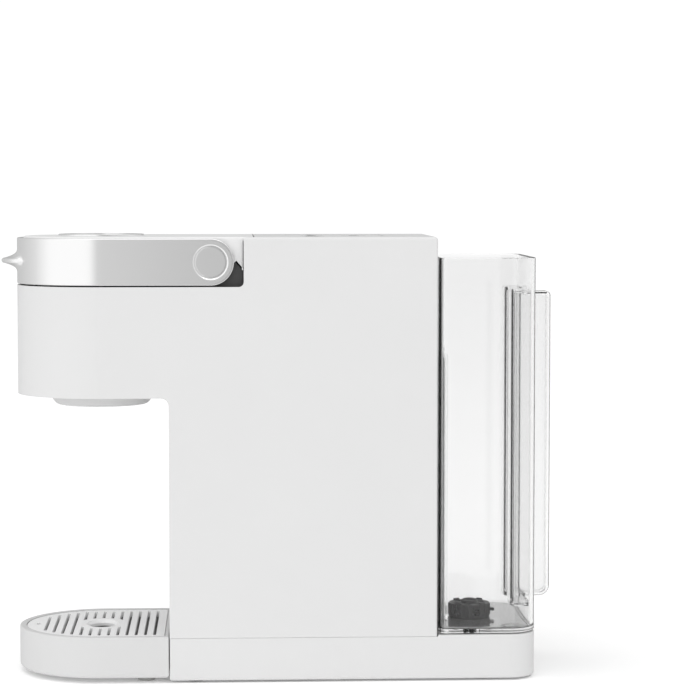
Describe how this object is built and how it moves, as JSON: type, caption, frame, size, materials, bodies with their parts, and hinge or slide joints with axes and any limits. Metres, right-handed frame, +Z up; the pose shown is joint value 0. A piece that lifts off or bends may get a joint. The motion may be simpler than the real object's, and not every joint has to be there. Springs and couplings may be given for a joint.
{
  "type": "pod coffee machine",
  "caption": "Slim single-serve pod coffee machine with a lift-up silver handle and lid, cup bay over a slotted drip tray, and a clear lift-off water tank behind.",
  "frame": {"origin": "middle of the bounding box, on the surface the machine stands on", "axes": "+Z up, -Y towards the user at the drip tray and handle lip, +Y towards the tank, X across the width"},
  "size_m": [0.118, 0.3874, 0.3087],
  "materials": {
    "white_casing": "fine satin ABS, white",
    "lid_white": "fine satin ABS, white",
    "funnel_white": "matte polypropylene, off white",
    "silver_band": "satin silver",
    "satin_cap": "satin silver",
    "button_white": "satin white",
    "clear_tank": "clear moulded copolyester",
    "dark_plastic": "charcoal moulded plastic",
    "grey_plastic": "mid grey moulded plastic",
    "black_rubber": "soft black rubber",
    "hose_silicone": "milky silicone hose",
    "steel": "plain stainless steel",
    "cast_aluminium": "die-cast",
    "pump_body": "lacquered coil housing",
    "thermostat_body": "moulded phenolic",
    "board_green": "solder-masked laminate",
    "board_black": "moulded component cases"
  },
  "bodies": {
    "machine": {"base_shell": "white_casing", "base_plate": "grey_plastic", "base_feet": "black_rubber", "base_screws": "steel", "body_shell": "white_casing", "rear_cover": "white_casing", "rear_cover_screws": "steel", "head_bottom_cover": "white_casing", "head_frame": "dark_plastic", "pivot_pins": "steel", "lid_spring": "steel", "pod_holder": "dark_plastic", "pod_funnel": "funnel_white", "exit_needle": "steel", "latch_catch": "dark_plastic", "control_panel": "white_casing", "button_board": "board_green", "button_switches": "board_black", "tank_dock": "dark_plastic", "dock_seal": "black_rubber", "cord_gland": "grey_plastic", "flow_meter": "dark_plastic", "pump": "pump_body", "pump_mounts": "black_rubber", "boiler": "cast_aluminium", "boiler_bracket": "dark_plastic", "thermostats": "thermostat_body", "inlet_hose": "hose_silicone", "pump_inlet_hose": "hose_silicone", "boiler_hose": "hose_silicone", "hot_water_hose": "hose_silicone", "swivel_fitting": "dark_plastic", "control_board": "board_green", "board_parts": "board_black"},
    "handle": {"handle_band": "silver_band", "handle_caps": "satin_cap"},
    "lid": {"lid_cover": "lid_white", "lid_medallion": "lid_white", "lid_liner": "dark_plastic", "entry_needle": "steel", "needle_gasket": "black_rubber", "lid_screws": "steel", "latch_hook": "dark_plastic", "lid_pipe": "hose_silicone"},
    "drip_tray": {"tray_bowl": "white_casing", "tray_feet": "black_rubber"},
    "grate": {"tray_plate": "white_casing"},
    "tank": {"water_tank": "clear_tank", "valve_cage": "dark_plastic"},
    "tank_valve": {"valve_poppet": "grey_plastic", "poppet_seal": "black_rubber", "valve_spring": "steel"},
    "power_button": {"power_button": "button_white"},
    "small_cup_button": {"small_cup_button": "button_white"},
    "medium_cup_button": {"medium_cup_button": "button_white"},
    "large_cup_button": {"large_cup_button": "button_white"}
  },
  "joints": [
    {"name": "handle_pivot", "type": "hinge", "parent": "machine", "child": "handle", "pos_m": [0, -0.0466, 0.2903], "axis": [-1, 0, 0], "range_deg": [0, 70]},
    {"name": "lid_hinge", "type": "hinge", "parent": "machine", "child": "lid", "pos_m": [0, -0.0466, 0.2903], "axis": [-1, 0, 0], "range_deg": [0, 50]},
    {"name": "tray_slide", "type": "slide", "parent": "machine", "child": "drip_tray", "axis": [0, -1, 0], "range_m": [0, 0.13]},
    {"name": "grate_lift", "type": "slide", "parent": "drip_tray", "child": "grate", "axis": [0, 0, 1], "range_m": [0, 0.05]},
    {"name": "tank_lift", "type": "slide", "parent": "machine", "child": "tank", "axis": [0, 0, 1], "range_m": [0, 0.2]},
    {"name": "valve_travel", "type": "slide", "parent": "tank", "child": "tank_valve", "axis": [0, 0, 1], "range_m": [0, 0.0012], "stiffness_N_per_m": 150, "springref_m": -0.004, "deforming": ["valve_spring"]},
    {"name": "power_button_press", "type": "slide", "parent": "machine", "child": "power_button", "axis": [0, 0, -1], "range_m": [0, 0.0012], "stiffness_N_per_m": 400, "springref_m": -0.001},
    {"name": "small_cup_button_press", "type": "slide", "parent": "machine", "child": "small_cup_button", "axis": [0, 0, -1], "range_m": [0, 0.0012], "stiffness_N_per_m": 400, "springref_m": -0.001},
    {"name": "medium_cup_button_press", "type": "slide", "parent": "machine", "child": "medium_cup_button", "axis": [0, 0, -1], "range_m": [0, 0.0012], "stiffness_N_per_m": 400, "springref_m": -0.001},
    {"name": "large_cup_button_press", "type": "slide", "parent": "machine", "child": "large_cup_button", "axis": [0, 0, -1], "range_m": [0, 0.0012], "stiffness_N_per_m": 400, "springref_m": -0.001}
  ],
  "couplings": [
    {"joint": "lid_hinge", "follows": "handle_pivot", "ratio": 0.71429}
  ]
}
